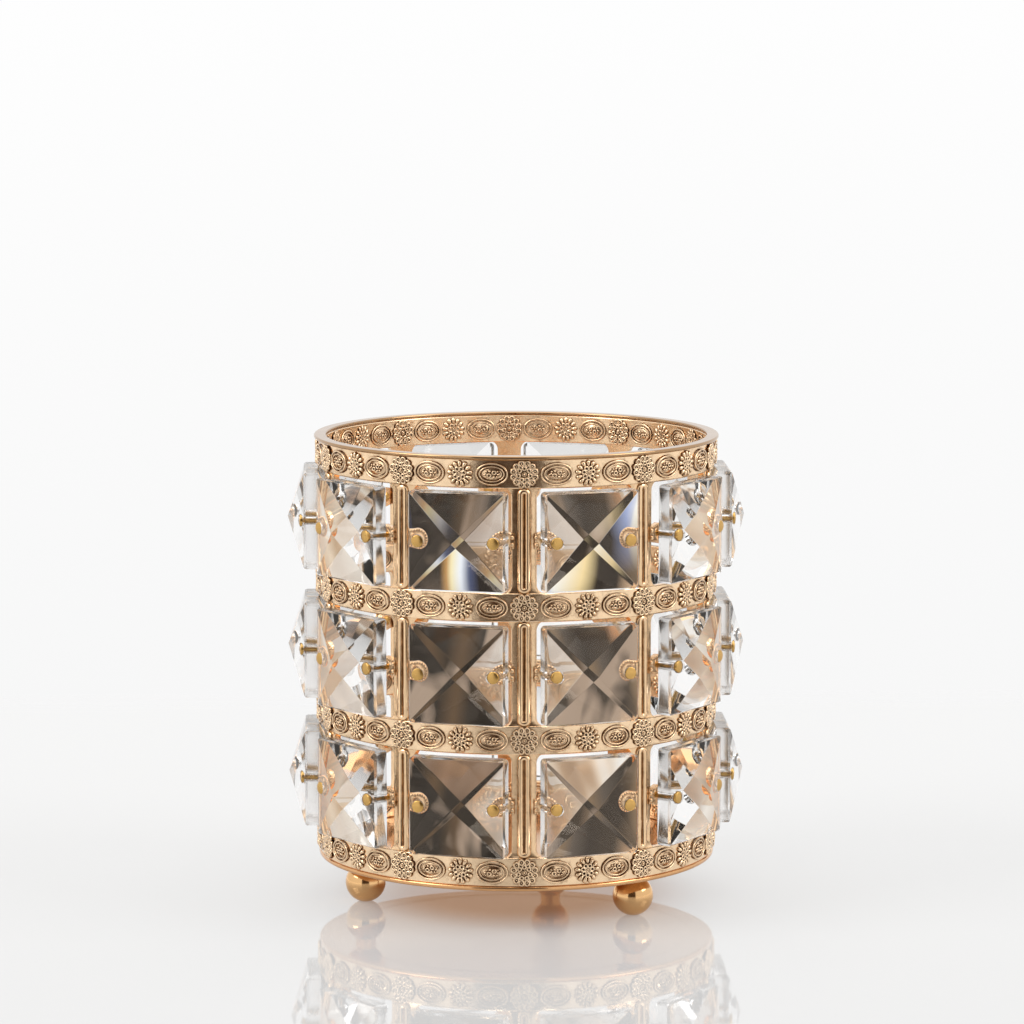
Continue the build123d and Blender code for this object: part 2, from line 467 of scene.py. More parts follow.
def mixed(tree, place, factor, first, second, kind="RGBA"):
    """A mix of two colours or, of another kind, of two numbers."""
    inputs = {"Factor": factor, "A": first, "B": second}
    return node(tree, "ShaderNodeMix", place, inputs, data_type=kind), "Result"


def ramped(tree, place, value, stops):
    """A value made a colour by a ramp, with its stops of position and tone."""
    made = node(tree, "ShaderNodeValToRGB", place, {"Fac": value})
    elements = made.color_ramp.elements
    positions, tones = zip(*stops)
    elements[0].position, elements[1].position = positions[0], positions[-1]
    for position in positions[1:-1]:
        elements.new(position)
    for element, tone in zip(elements, tones):
        element.color = opaque(tone)
    return made, "Color"


def opaque(channels, share=1.0):
    """A colour for a socket, with each channel times a share."""
    return (*[channel * share for channel in channels], 1)


def shader_group(name, inputs, outputs):
    """A node group with named sockets, and its input and output nodes."""
    tree = bpy.data.node_groups.new(name, "ShaderNodeTree")
    for socket, kind, default in inputs:
        made = tree.interface.new_socket(name=socket, in_out="INPUT", socket_type=kind)
        if default is not None:
            made.default_value = default
    for socket, kind in outputs:
        tree.interface.new_socket(name=socket, in_out="OUTPUT", socket_type=kind)
    return tree, node(tree, "NodeGroupInput", (-900, 0)), node(tree, "NodeGroupOutput", (700, 0))


def recess_shade_group():
    """Darkens a metal with painted shade where it lies close beside taller relief, unevenly where it is
    stained.
    """
    name = "Recess Shade"
    if name in bpy.data.node_groups:
        return bpy.data.node_groups[name]
    inputs = [
        ("Color", "NodeSocketColor", (0.8, 0.6, 0.4, 1)),
        ("Recess Color", "NodeSocketColor", (0.2, 0.1, 0.05, 1)),
        ("Reach", "NodeSocketFloat", 0.8 * MM),
        ("Strength", "NodeSocketFloat", 0.8),
        ("Stain", "NodeSocketFloat", 0.3),
        ("Vector", "NodeSocketVector", None),
    ]
    tree, start, end = shader_group(name, inputs, [("Color", "NodeSocketColor"), ("Mask", "NodeSocketFloat")])
    # Painted shade: ambient occlusion darkens the colour near taller relief
    reach = {"Distance": (start, "Reach")}
    near = node(tree, "ShaderNodeAmbientOcclusion", (-650, -150), reach, samples=6, only_local=True)
    blotch = noise(tree, (-850, -350), (start, "Vector"), scale=520.0, detail=5.0, roughness=0.7)
    uneven = remapped(tree, (-650, -350), blotch, old=(0.32, 0.6), new=(-1.0, 0.25))
    stained = computed(tree, (-500, -250), "MULTIPLY_ADD", uneven, (start, "Stain"), (near, "AO"))
    dark = remapped(tree, (-350, -150), stained, old=(0.82, 0.38))
    amount = computed(tree, (-200, -150), "MULTIPLY", dark, (start, "Strength"))
    shaded = mixed(tree, (250, 0), amount, (start, "Color"), (start, "Recess Color"))
    feed(tree, end, {"Color": shaded, "Mask": amount})
    return tree


def surface_grain_group():
    """Fine unevenness of a cast or polished surface: a height, and a slow variation from 0 to 1."""
    name = "Surface Grain"
    if name in bpy.data.node_groups:
        return bpy.data.node_groups[name]
    inputs = [
        ("Vector", "NodeSocketVector", None),
        ("Grain Scale", "NodeSocketFloat", 2500.0),
        ("Patch Scale", "NodeSocketFloat", 120.0),
    ]
    outputs = [("Height", "NodeSocketFloat"), ("Variation", "NodeSocketFloat")]
    tree, start, end = shader_group(name, inputs, outputs)
    vector = (start, "Vector")
    grain = noise(tree, (-500, 150), vector, (start, "Grain Scale"), detail=3.0, roughness=0.55)
    patch = noise(tree, (-500, -150), vector, (start, "Patch Scale"), detail=4.0, roughness=0.6)
    feed(tree, end, {"Height": grain, "Variation": remapped(tree, (-200, -150), patch, old=(0.3, 0.7))})
    return tree


def emptied(owner):
    """The node tree of a material or a world, with nothing in it."""
    owner.use_nodes = True
    owner.node_tree.nodes.clear()
    return owner.node_tree


def new_material(name):
    """An empty node material with its output node and Object coordinates."""
    material = bpy.data.materials.new(name)
    tree = emptied(material)
    output = node(tree, "ShaderNodeOutputMaterial", (1100, 0))
    coordinates = node(tree, "ShaderNodeTexCoord", (-1100, 0)), "Object"
    return material, tree, output, coordinates


def grained_material(name, grain_scale, patch_scale):
    """A node material with its shader, Object coordinates and the surface grain at its scales."""
    material, tree, output, coordinates = new_material(name)
    shader = node(tree, "ShaderNodeBsdfPrincipled", (300, 0))
    feed(tree, output, {"Surface": (shader, "BSDF")})
    inputs = {"Vector": coordinates, "Grain Scale": grain_scale, "Patch Scale": patch_scale}
    grain = node(tree, "ShaderNodeGroup", (-850, 0), inputs, node_tree=surface_grain_group())
    return material, tree, shader, coordinates, grain


# Looks: reach and recess set how far and how strongly painted shade darkens the recesses; stain sets how much
# stains make it uneven
CAST_LOOK = {
    "grain_scale": 2600.0,
    "patch_scale": 480.0,
    "dull": 0.88,
    "reach": 0.8 * MM,
    "recess": 0.8,
    "stain": 0.36,
    "smooth": 0.12,
    "rough": 0.24,
    "bump": 0.42,
}
BAR_LOOK = {**CAST_LOOK, "recess": 0.7}
SMOOTH_LOOK = {**CAST_LOOK, "patch_scale": 150.0, "dull": 0.9, "stain": 0.04}
POLISHED_LOOK = {**SMOOTH_LOOK, "smooth": 0.08, "rough": 0.15, "bump": 0.1, "recess": 0.6}
SATIN_LOOK = {**SMOOTH_LOOK, "smooth": 0.2, "rough": 0.32, "bump": 0.2, "recess": 0.5}
GRAIN_DEPTH = 0.03 * MM


def metal_material(name, finish, look):
    """Plated metal: fine grain, patches of duller plating, and recesses darkened by painted shade and stains.
    """
    finishes = bpy.context.scene.brush_cup_finishes
    tone = getattr(finishes, finish)
    material, tree, shader, coordinates, grain = grained_material(
        name, look["grain_scale"], look["patch_scale"]
    )
    variation = (grain, "Variation")
    shade_inputs = {
        "Color": mixed(tree, (-600, 200), variation, opaque(tone), opaque(tone, look["dull"])),
        "Recess Color": opaque(finishes.recess),
        "Reach": look["reach"],
        "Strength": look["recess"],
        "Stain": look["stain"],
        "Vector": coordinates,
    }
    shade = node(tree, "ShaderNodeGroup", (-300, 200), shade_inputs, node_tree=recess_shade_group())
    bump_inputs = {"Strength": look["bump"], "Distance": GRAIN_DEPTH, "Height": (grain, "Height")}
    bump = node(tree, "ShaderNodeBump", (0, -300), bump_inputs)
    shader_inputs = {
        "Base Color": (shade, "Color"),
        "Metallic": 1.0,
        "Roughness": remapped(tree, (-300, -150), variation, new=(look["smooth"], look["rough"])),
        "Normal": (bump, "Normal"),
    }
    feed(tree, shader, shader_inputs)
    return material


def crystal_material(name, finish, smooth, rough):
    """Clear crystal glass, its polish from smooth to rough in faint patches."""
    finishes = bpy.context.scene.brush_cup_finishes
    tint = getattr(finishes, finish)
    material, tree, shader, _, grain = grained_material(name, grain_scale=900.0, patch_scale=90.0)
    paler = opaque([(1 + channel) / 2 for channel in tint])
    shader_inputs = {
        "Base Color": mixed(tree, (-300, 200), (grain, "Variation"), opaque(tint), paler),
        "Metallic": 0.0,
        "Transmission Weight": 1.0,
        "IOR": 1.5,
        "Specular Tint": opaque(finishes.sheen),
        "Roughness": smooth,
    }
    feed(tree, shader, shader_inputs)
    if rough > smooth:
        haze = remapped(tree, (-300, -150), (grain, "Variation"), new=(smooth, rough))
        feed(tree, shader, {"Roughness": haze})
    return material


# Ornament of the bands, modelled flat: X across, Y up, Z out of the wall


def wire_loop(name, size, wire, lift, flare=0.0, steps=10):
    """A closed loop of round wire, its half sizes in X and Y, wider towards +Y by its flare."""
    deselect()
    bpy.ops.mesh.primitive_torus_add(
        major_segments=steps, minor_segments=6, major_radius=MM, minor_radius=wire, location=(0, 0, lift)
    )
    loop = named(name, 70)
    for vertex in loop.data.vertices:
        x, y = vertex.co.x, vertex.co.y
        reach = math.hypot(x, y)
        inner = MM / reach
        across, along = x * inner * size[0] / MM, y * inner * size[1] / MM
        across *= 1.0 + flare * y / reach
        vertex.co.x = across + (x - x * inner)
        vertex.co.y = along + (y - y * inner)
    return loop


def scroll_rosette():
    """The rosette over a bar: twelve beaded loops round a ring of seven smaller ones and a flower."""
    rim = around(12, 2.58 * MM, math.pi / 12)
    outer = wire_loop("outer", (0.56 * MM, 0.64 * MM), wire=0.25 * MM, lift=0.44 * MM, flare=0.24, steps=12)
    parts = [repeated("outers", outer, rim)]
    seed = bead("seed", (0.22 * MM, 0.32 * MM, 0.34 * MM), (0, 0, 0.3 * MM))
    parts.append(repeated("seeds", seed, rim))
    inner = wire_loop("inner", (0.46 * MM, 0.42 * MM), wire=0.23 * MM, lift=0.48 * MM)
    parts.append(repeated("inners", inner, around(7, 1.42 * MM)))
    parts.append(wire_loop("heart_ring", (0.5 * MM, 0.5 * MM), wire=0.16 * MM, lift=0.4 * MM))
    parts.append(bead("heart", (0.3 * MM, 0.38 * MM, 0.5 * MM), (0, 0, 0.3 * MM), 10, 6))
    return joined("scroll_rosette", parts)


def daisy_rosette():
    """The rosette in the middle of a bay: thirteen long petals round seven loops and a ringed eye."""
    half_petal, petal_flare = 0.92 * MM, 0.34
    petal = bead("petal", (0.52 * MM, half_petal, 0.62 * MM), (0, 0, 0.16 * MM), 10, 7)
    for vertex in petal.data.vertices:
        vertex.co.x *= 1.0 + petal_flare * vertex.co.y / half_petal
    parts = [repeated("petals", petal, around(13, 2.34 * MM))]
    inner = wire_loop("inner", (0.44 * MM, 0.52 * MM), wire=0.21 * MM, lift=0.5 * MM, flare=0.3)
    parts.append(repeated("inners", inner, around(7, 1.14 * MM, math.pi / 7)))
    parts.append(wire_loop("eye_ring", (0.34 * MM, 0.34 * MM), wire=0.13 * MM, lift=0.58 * MM))
    parts.append(bead("boss", (0.2 * MM, 0.2 * MM, 0.34 * MM), (0, 0, 0.42 * MM)))
    return joined("daisy_rosette", parts)


def oval_wire(name, half_length, half_height, wire, lift):
    """An even round wire bent to an oval."""
    deselect()
    bpy.ops.curve.primitive_bezier_circle_add(radius=1.0)
    ring = bpy.context.object
    ring.scale = (half_length, half_height, 1)
    bpy.ops.object.transform_apply()
    ring.data.resolution_u = 9
    ring.data.bevel_depth = wire
    ring.data.bevel_resolution = 1
    ring.location.z = lift
    bpy.ops.object.convert(target="MESH")
    return named(name, 70)


def oval_motif():
    """The oval between two rosettes: a stout ring, a fine ring, and beads and leaves on a low dome."""
    parts = [
        oval_wire("outer_ring", 3.72 * MM, 2.54 * MM, wire=0.38 * MM, lift=0.4 * MM),
        oval_wire("inner_ring", 2.94 * MM, 1.8 * MM, wire=0.27 * MM, lift=0.42 * MM),
        bead("dome", (2.4 * MM, 1.5 * MM, 0.22 * MM), (0, 0, 0), 24, 6),
    ]
    for side in (-1, 1):
        eye = wire_loop("eye_ring", (0.46 * MM, 0.42 * MM), wire=0.2 * MM, lift=0.44 * MM)
        eye.data.transform(Matrix.Translation((side * 0.62 * MM, side * 0.34 * MM, 0)))
        parts.append(eye)
        leaf = bead("leaf", (0.6 * MM, 0.26 * MM, 0.4 * MM), (0, 0, 0.3 * MM))
        leaf.data.transform(Matrix.Translation((side * 1.62 * MM, 0, 0)) @ Matrix.Rotation(0.5, 4, "Z"))
        parts.append(leaf)
        for x, y, radius in ((0.5, -0.7, 0.36), (1.25, -0.62, 0.3), (1.42, 0.66, 0.26)):
            place = (side * x * MM, side * y * MM, 0.3 * MM)
            parts.append(bead("bud", (radius * MM, radius * MM, 0.42 * MM), place))
    return joined("oval_motif", parts)


def bay_of_ornament(wall_radius):
    """One bay of ornament, flat: a scroll rosette, an oval, a daisy rosette and an oval."""
    pitch = wall_radius * BAY_ANGLE / MOTIFS_PER_BAY
    ovals = repeated("ovals", oval_motif(), [Matrix.Translation((n * pitch, 0, 0)) for n in (1, 3)])
    daisy = daisy_rosette()
    daisy.data.transform(Matrix.Translation((2 * pitch, 0, 0)))
    return joined("bay_of_ornament", [scroll_rosette(), ovals, daisy])


# Pieces of the cup


def inside_radius(sizes):
    """The radius of the inside of the bands' walls."""
    return BAND_CREST - sizes.relief - sizes.wall


class BRUSHCUP_OT_bands(bpy.types.Operator):
    """Make the four ornamented bands"""

    bl_idname = "brushcup.bands"
    bl_label = "Ornamented bands"

    def execute(self, context):
        sizes = context.scene.brush_cup_cage
        inner_radius, wall_radius = inside_radius(sizes), BAND_CREST - sizes.relief
        half = BAND_HEIGHT / 2
        section = rounded_section(inner_radius, wall_radius, -half, half, sizes.edge, 3)
        wall = lathed("band_wall", section, ROUND_STEPS)
        bay = bay_of_ornament(wall_radius)
        flatter = Matrix.Diagonal((inner_radius / wall_radius, 1, INSIDE_RELIEF, 1))
        inside = copied(bay, flatter)
        modified(inside, "DECIMATE", ratio=INSIDE_FACES)
        turns = [turned(step * BAY_ANGLE) for step in range(len(BAYS))]
        outer = repeated("outer_ornament", wrapped(bay, wall_radius), turns)
        inner = repeated("inner_ornament", wrapped(inside, inner_radius, -1), turns)
        band = joined("ornamented_band", [wall, outer, inner])
        metal = metal_material("Champagne Plating", "cage", CAST_LOOK)
        for level in BAND_LEVELS:
            low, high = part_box(f"ornament_band_{level}")
            place = Matrix.Translation((0, 0, (low.z + high.z) / 2))
            name = f"ornamented_band_{level}"
            set_in_place(band, place, name, metal, f"ornament_band_{level}")
        bpy.data.objects.remove(band)
        return {"FINISHED"}


class BRUSHCUP_OT_lip(bpy.types.Operator):
    """Make the lip ring round the mouth"""

    bl_idname = "brushcup.lip"
    bl_label = "Lip ring"

    def execute(self, context):
        sizes = context.scene.brush_cup_cage
        low, high = LIP_LOW.z, LIP_HIGH.z
        section = rounded_section(inside_radius(sizes), LIP_HIGH.x, low, high, sizes.lip_rounding)
        ring = lathed("rolled_lip", section, ROUND_STEPS)
        # Painted shade: the lip's darker tone dims its reflection of the bright light above
        metal = metal_material("Polished Plating", "lip", POLISHED_LOOK)
        finished(ring, metal, "lip_ring")
        return {"FINISHED"}


def bar_stretch(sizes, height):
    """A bar between two bands, flat: a plate with flared ends and a long ridge loop on it."""
    half_width, half_height = sizes.bar_width / 2, height / 2
    radius = sizes.window_corner
    side = arc((half_width + radius, -half_height + radius), radius, 270, 180, 6)
    side += arc((half_width + radius, half_height - radius), radius, 180, 90, 6)
    outline = side + [(-x, y) for x, y in reversed(side)]
    plate = cut_plate("bar_plate", outline, sizes.bar_thickness, sizes.bar_edge)
    deselect()
    ridge_steps = 16
    bpy.ops.mesh.primitive_torus_add(
        major_segments=ridge_steps,
        minor_segments=12,
        major_radius=sizes.ridge_spacing / 2,
        minor_radius=sizes.ridge_radius,
        location=(0, 0, sizes.bar_thickness),
        rotation=(0, 0, math.pi / ridge_steps),
    )
    ridge = named("bar_ridge", 70)
    stretch = half_height - sizes.ridge_spacing / 2 - sizes.ridge_radius
    for vertex in ridge.data.vertices:
        vertex.co.y += math.copysign(stretch, vertex.co.y)
    return joined("bar_stretch", [plate, ridge])


def ear(sizes, reach):
    """An ear, flat, with its pin hole at the origin and its root towards +X, beaded round the edge."""
    radius, thickness = sizes.ear_radius, sizes.ear_thickness
    half_root = 0.72 * radius
    bead_radius, bead_pitch, narrowing = 0.34 * MM, 0.68 * MM, 0.06
    outline = arc((0, 0), radius, 90, 270, 12) + [(reach, -half_root), (reach, half_root)]
    plate = cut_plate("ear_plate", outline, thickness, 0.2 * MM)
    rim_radius = radius - bead_radius
    rim = bead("rim", (bead_radius, bead_radius, 0.36 * MM), (0, 0, thickness))
    places = [Matrix.Translation((x, y, 0)) for x, y in arc((0, 0), rim_radius, 90, 270, 10)]
    for step in range(1, 5):
        for side in (-1, 1):
            along = side * rim_radius * (1.0 - narrowing * step)
            places.append(Matrix.Translation((step * bead_pitch, along, 0)))
    beads = repeated("rims", rim, places)
    collar = wire_loop("collar", (1.78 * MM, 1.78 * MM), wire=0.16 * MM, lift=thickness, steps=24)
    parts = [plate, beads, collar]
    for side in (-1, 1):
        place = (reach - 0.5 * MM, side * 0.85 * MM, 0)
        knob = bead("knob", (0.62 * MM, 0.62 * MM, 0.6 * MM), place, 10, 6)
        knob.data.transform(Matrix.Translation((0, 0, thickness)))
        parts.append(knob)
    return joined("ear", parts)


class BRUSHCUP_OT_bars(bpy.types.Operator):
    """Make the ten upright bars with their ears"""

    bl_idname = "brushcup.bars"
    bl_label = "Upright bars"

    def execute(self, context):
        sizes = context.scene.brush_cup_cage
        pin_offset = CRYSTAL_SIZE / 2 - context.scene.brush_cup_crystals.hole_inset
        half_bay = BAY_ANGLE / 2
        first_row = (NEXT_BAND_LOW.z + BAND_HIGH.z) / 2
        window_height = NEXT_BAND_LOW.z - BAND_HIGH.z
        pitch = window_height + BAND_HEIGHT
        stretch = bar_stretch(sizes, window_height + 2 * sizes.edge)
        stretch.data.transform(upright(inside_radius(sizes), 0))
        reach = sizes.ear_front * math.tan(half_bay) - pin_offset - EAR_TO_BAR_MIDDLE
        right_ear = ear(sizes, reach)
        right_ear.data.transform(Matrix.Translation((pin_offset, 0, 0)))
        left_ear = copied(right_ear, Matrix.Diagonal((-1, 1, 1, 1)))
        left_ear.data.flip_normals()
        ear_back = sizes.ear_front - sizes.ear_thickness
        right_ear.data.transform(turned(-half_bay) @ upright(ear_back, 0))
        left_ear.data.transform(turned(half_bay) @ upright(ear_back, 0))
        one_row = joined("bar_row", [stretch, right_ear, left_ear])
        rows = [Matrix.Translation((0, 0, first_row + (row - 1) * pitch)) for row in ROWS]
        bar = repeated("upright_bar", one_row, rows)
        metal = metal_material("Bar Plating", "bar", BAR_LOOK)
        for bay in BAYS:
            place = turned((bay - 1) * BAY_ANGLE)
            set_in_place(bar, place, f"fluted_bar_{bay:02d}", metal, f"upright_bar_{bay:02d}")
        bpy.data.objects.remove(bar)
        return {"FINISHED"}


def carved(piece, tool, operation):
    """Cuts the piece with a solid of which nothing remains afterwards."""
    modified(piece, "BOOLEAN", operation=operation, solver="EXACT", object=tool)
    bpy.data.objects.remove(tool)


def drilled(piece, radius, low, high, offset):
    """Cuts a round hole along Z on both sides of the piece, from one height to another."""
    for side in (-1, 1):
        deselect()
        middle = (side * offset, 0, (low + high) / 2)
        bpy.ops.mesh.primitive_cylinder_add(vertices=24, radius=radius, depth=high - low, location=middle)
        carved(piece, named("drill"), "DIFFERENCE")


def rounded_corners(piece, radius):
    """Rounds the four upright corners of a crystal."""
    deselect()
    height = OUTER_APEX - INNER_APEX + 2 * MM
    bpy.ops.mesh.primitive_cube_add(size=1.0, location=(0, 0, (INNER_APEX + OUTER_APEX) / 2))
    bpy.context.object.scale = (CRYSTAL_SIZE, CRYSTAL_SIZE, height)
    block = named("rounding")
    edit(block)
    select_edges(block, lambda a, b: abs(a.z - b.z) > height / 2)
    bpy.ops.mesh.bevel(offset=radius, segments=4, affect="EDGES")
    carved(piece, clean(None, "rounding"), "INTERSECT")


def cut_crystal(sizes):
    """A crystal, flat, at its distance from the cup's axis: square girdle and two pyramids."""
    back = OUTER_APEX - sizes.front - sizes.girdle
    front = OUTER_APEX - sizes.front
    deselect()
    bpy.ops.mesh.primitive_cube_add(size=1.0, location=(0, 0, (back + front) / 2))
    bpy.context.object.scale = (CRYSTAL_SIZE, CRYSTAL_SIZE, sizes.girdle)
    piece = named("crystal")
    edit(piece)
    for sign, rise in ((1, sizes.front), (-1, INNER_APEX - back)):
        select_faces(piece, lambda normal: normal.z * sign > 0.9)
        bpy.ops.mesh.extrude_region_move(TRANSFORM_OT_translate={"value": (0, 0, rise)})
        bpy.ops.mesh.merge(type="CENTER")
    select_edges(piece, lambda a, b: abs(a.z - front) < NEAR and abs(b.z - front) < NEAR)
    bpy.ops.mesh.bevel(offset=sizes.border, segments=1, affect="EDGES")
    piece = clean(None, "crystal")
    modified(
        piece, "BEVEL", width=sizes.facet_edge, segments=2, limit_method="ANGLE", angle_limit=FACET_ANGLE
    )
    rounded_corners(piece, sizes.corner)
    offset = CRYSTAL_SIZE / 2 - sizes.hole_inset
    drilled(piece, sizes.hole_radius, INNER_APEX, OUTER_APEX, offset)
    drilled(piece, sizes.seat_radius, front + sizes.seat_rise, OUTER_APEX + MM, offset)
    choose(piece)
    bpy.ops.object.shade_smooth_by_angle(angle=FACET_ANGLE)
    piece.data.materials.append(crystal_material("Crystal Glass", "glass", 0.0, 0.0))
    piece.data.materials.append(crystal_material("Ground Crystal Edge", "ground_glass", 0.14, 0.26))
    for face in piece.data.polygons:
        if abs(face.normal.z) < FACET_SLOPE:
            face.material_index = 1
    return piece


def crystal_places(row):
    """Where a row's ten crystals go from the flat model, in the order of the bays."""
    low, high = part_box(f"crystal_row{row}_03")
    return [turned((bay - 0.5) * BAY_ANGLE) @ upright(0, (low.z + high.z) / 2) for bay in BAYS]


class BRUSHCUP_OT_crystals(bpy.types.Operator):
    """Make the thirty crystals"""

    bl_idname = "brushcup.crystals"
    bl_label = "Crystals"

    def execute(self, context):
        crystal = cut_crystal(context.scene.brush_cup_crystals)
        for row in ROWS:
            for bay, place in zip(BAYS, crystal_places(row)):
                name = f"crystal_row{row}_{bay:02d}"
                set_in_place(crystal, place, f"faceted_{name}", None, name)
        bpy.data.objects.remove(crystal)
        return {"FINISHED"}


class BRUSHCUP_OT_pins(bpy.types.Operator):
    """Make the pins that hold the crystals, a row at a time"""

    bl_idname = "brushcup.pins"
    bl_label = "Crystal pins"

    def execute(self, context):
        sizes = context.scene.brush_cup_crystals
        cage = context.scene.brush_cup_cage
        seat = OUTER_APEX - sizes.front + sizes.seat_rise
        ear_back = cage.ear_front - cage.ear_thickness
        tail = ear_back - sizes.tail_height
        tail_rounding, seat_rounding, head_rounding, dome = 0.4 * MM, 0.1 * MM, 0.22 * MM, 0.1 * MM
        top = seat + sizes.head_height - dome
        outline = [(0, tail), (sizes.tail_radius - tail_rounding, tail)]
        tail_middle = (sizes.tail_radius - tail_rounding, tail + tail_rounding)
        outline += arc(tail_middle, tail_rounding, -60, 0, 3)
        outline += [(sizes.tail_radius, ear_back), (sizes.pin_radius, ear_back), (sizes.pin_radius, seat)]
        seat_middle = (sizes.head_radius - seat_rounding, seat + seat_rounding)
        outline += arc(seat_middle, seat_rounding, -90, 0, 2)
        outline += arc((sizes.head_radius - head_rounding, top - head_rounding), head_rounding, 0, 80, 3)
        outline += [(0.7 * MM, top + 0.7 * dome), (0, top + dome)]
        pin = lathed("pin", outline, 24, 50)
        offset = CRYSTAL_SIZE / 2 - sizes.hole_inset
        pair = repeated("pin_pair", pin, [Matrix.Translation((side * offset, 0, 0)) for side in (-1, 1)])
        metal = metal_material("Yellow Brass", "pin", SATIN_LOOK)
        for row in ROWS:
            piece = repeated(f"headed_pins_row{row}", pair, crystal_places(row), keep=True)
            finished(piece, metal, f"crystal_pins_row{row}")
        bpy.data.objects.remove(pair)
        return {"FINISHED"}


class BRUSHCUP_OT_floor_plate(bpy.types.Operator):
    """Make the plate that is the cup's floor"""

    bl_idname = "brushcup.floor_plate"
    bl_label = "Floor plate"

    def execute(self, context):
        rounding = context.scene.brush_cup_cage.plate_rounding
        edge, low, high = PLATE_HIGH.y, PLATE_LOW.z, PLATE_HIGH.z
        groove_inset, half_groove, groove_depth = 6 * MM, 0.8 * MM, 0.25 * MM
        groove = edge - groove_inset
        outline = [(0, low), (groove - half_groove, low), (groove, low + groove_depth)]
        outline += [(groove + half_groove, low)]
        outline += arc((edge - rounding, low + rounding), rounding, -90, 0, 5)
        outline += arc((edge - rounding, high - rounding), rounding, 0, 90, 5)
        outline += [(0, high)]
        plate = lathed("floor_plate", outline, ROUND_STEPS)
        metal = metal_material("Plate Plating", "plate", POLISHED_LOOK)
        finished(plate, metal, "base_plate")
        return {"FINISHED"}


class BRUSHCUP_OT_feet(bpy.types.Operator):
    """Make the three ball feet"""

    bl_idname = "brushcup.feet"
    bl_label = "Ball feet"

    def execute(self, context):
        sizes = context.scene.brush_cup_feet
        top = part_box("ball_foot_1")[1].z
        middle = sizes.ball_radius - sizes.flat
        flat_angle = math.degrees(math.asin(middle / sizes.ball_radius))
        neck_angle = math.degrees(math.acos((sizes.neck_radius + sizes.neck_fillet) / sizes.ball_radius))
        outline = [(0, 0)] + arc((0, middle), sizes.ball_radius, -flat_angle, neck_angle, 40)
        outline += [(sizes.neck_radius, outline[-1][1] + sizes.neck_fillet)]
        outline += [(sizes.neck_radius, top), (0, top)]
        ball = lathed("ball", outline, 64)
        metal = metal_material("Satin Gold", "foot", POLISHED_LOOK)
        for foot in FEET:
            low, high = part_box(f"ball_foot_{foot}")
            place = Matrix.Translation(((low.x + high.x) / 2, (low.y + high.y) / 2, 0))
            name = f"ball_foot_{foot}"
            set_in_place(ball, place, f"turned_{name}", metal, name)
        bpy.data.objects.remove(ball)
        return {"FINISHED"}


class BRUSHCUP_OT_screws(bpy.types.Operator):
    """Finish the screws that hold the feet"""

    bl_idname = "brushcup.screws"
    bl_label = "Foot screws"

    def execute(self, context):
        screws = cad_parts["foot_screws"]
        screws.data.materials.clear()
        screws.data.materials.append(metal_material("Zinc Plating", "screw", SATIN_LOOK))
        return {"FINISHED"}


# The stage: places and sizes in metres, from the cup's middle on the table

LAMP_AIM = (0, 0, 0.06)
FLAG_TURN = -0.1
FLAG_DISTANCE = 0.42
FLAG_HEIGHT = 0.19
FLAG_SIZE = (0.31, 0.38)
GLASS_CARD_HEIGHT = 0.061
GLASS_CARD_SIZE = (0.092, 0.098)
SOLID_WIDTH = 0.048
SOLID_FADE = 3 * MM
STREAK_HEIGHTS = (0.082, 0.096)
FLOOR_CARD_LIFT = 0.4 * MM
FLOOR_CARD_SIZE = (0.066, 0.066)
GLOW_RADII = (0.022, 0.048)
TABLE_FADE = 0.03
SENSOR_WIDTH = 36.0

# Lamps: name, place, side in metres and power in watts

LAMPS = [
    ("key_lamp", (-1.3, -0.5, 1.15), 0.9, 11.0),
    ("fill_lamp", (1.35, -0.45, 1.05), 0.8, 7.6),
    ("top_lamp", (0.1, 0.2, 1.5), 1.5, 10.0),
]


def floor_material(tone, behind):
    """
    White glossy light table that fades out at its far edge. Under the cup it glows warmly, as light does
    that reaches a table by way of the gold plate above it.
    """
    material, tree, shader, coordinates, grain = grained_material(
        "White Table", grain_scale=60.0, patch_scale=8.0
    )
    variation = (grain, "Variation")
    away = node(tree, "ShaderNodeVectorMath", (-850, 350), {0: coordinates}, operation="LENGTH")
    away = (away, "Value")
    spread = remapped(tree, (-600, 350), away, old=GLOW_RADII, interpolation_type="SMOOTHSTEP")
    warm, open_white = (0.56, 0.30, 0.165, 1), (1.0, 0.995, 0.985, 1)
    parts = node(tree, "ShaderNodeSeparateXYZ", (-850, -300), {"Vector": coordinates})
    far_edge = (behind - TABLE_FADE, behind)
    shader_inputs = {
        "Base Color": mixed(tree, (-300, 200), variation, opaque(tone), opaque(tone, 0.985)),
        "Roughness": remapped(tree, (-300, -150), variation, new=(0.02, 0.035)),
        "IOR": 1.45,
        "Alpha": remapped(tree, (-300, -400), (parts, "Y"), old=far_edge, new=(1.0, 0.0)),
        "Emission Color": mixed(tree, (-300, 450), spread, warm, open_white),
        "Emission Strength": 0.28,
    }
    feed(tree, shader, shader_inputs)
    return material


def studio_world():
    """White surroundings for the eye, the metal and the glass, and a softer fill for matt surfaces."""
    world = bpy.data.worlds.new("Studio")
    bpy.context.scene.world = world
    tree = emptied(world)
    path = node(tree, "ShaderNodeLightPath", (-700, 0))
    direction = node(tree, "ShaderNodeTexCoord", (-900, -300))
    parts = node(tree, "ShaderNodeSeparateXYZ", (-700, -300), {"Vector": (direction, "Generated")})
    white = remapped(tree, (-400, -300), (parts, "Z"), old=(-0.18, -0.02), new=(0.93, 0.99))
    camera, metal, glass = [(path, f"Is {kind} Ray") for kind in ("Camera", "Glossy", "Transmission")]
    seen = computed(tree, (-400, 100), "ADD", camera, metal, use_clamp=True)
    clear = computed(tree, (-200, 0), "ADD", seen, glass, use_clamp=True)
    fill = 0.5
    level = mixed(tree, (150, 0), clear, fill, white, "FLOAT")
    background_inputs = {"Color": (1, 1, 1, 1), "Strength": level}
    background = node(tree, "ShaderNodeBackground", (400, 0), background_inputs)
    node(tree, "ShaderNodeOutputWorld", (600, 0), {"Surface": (background, "Background")})


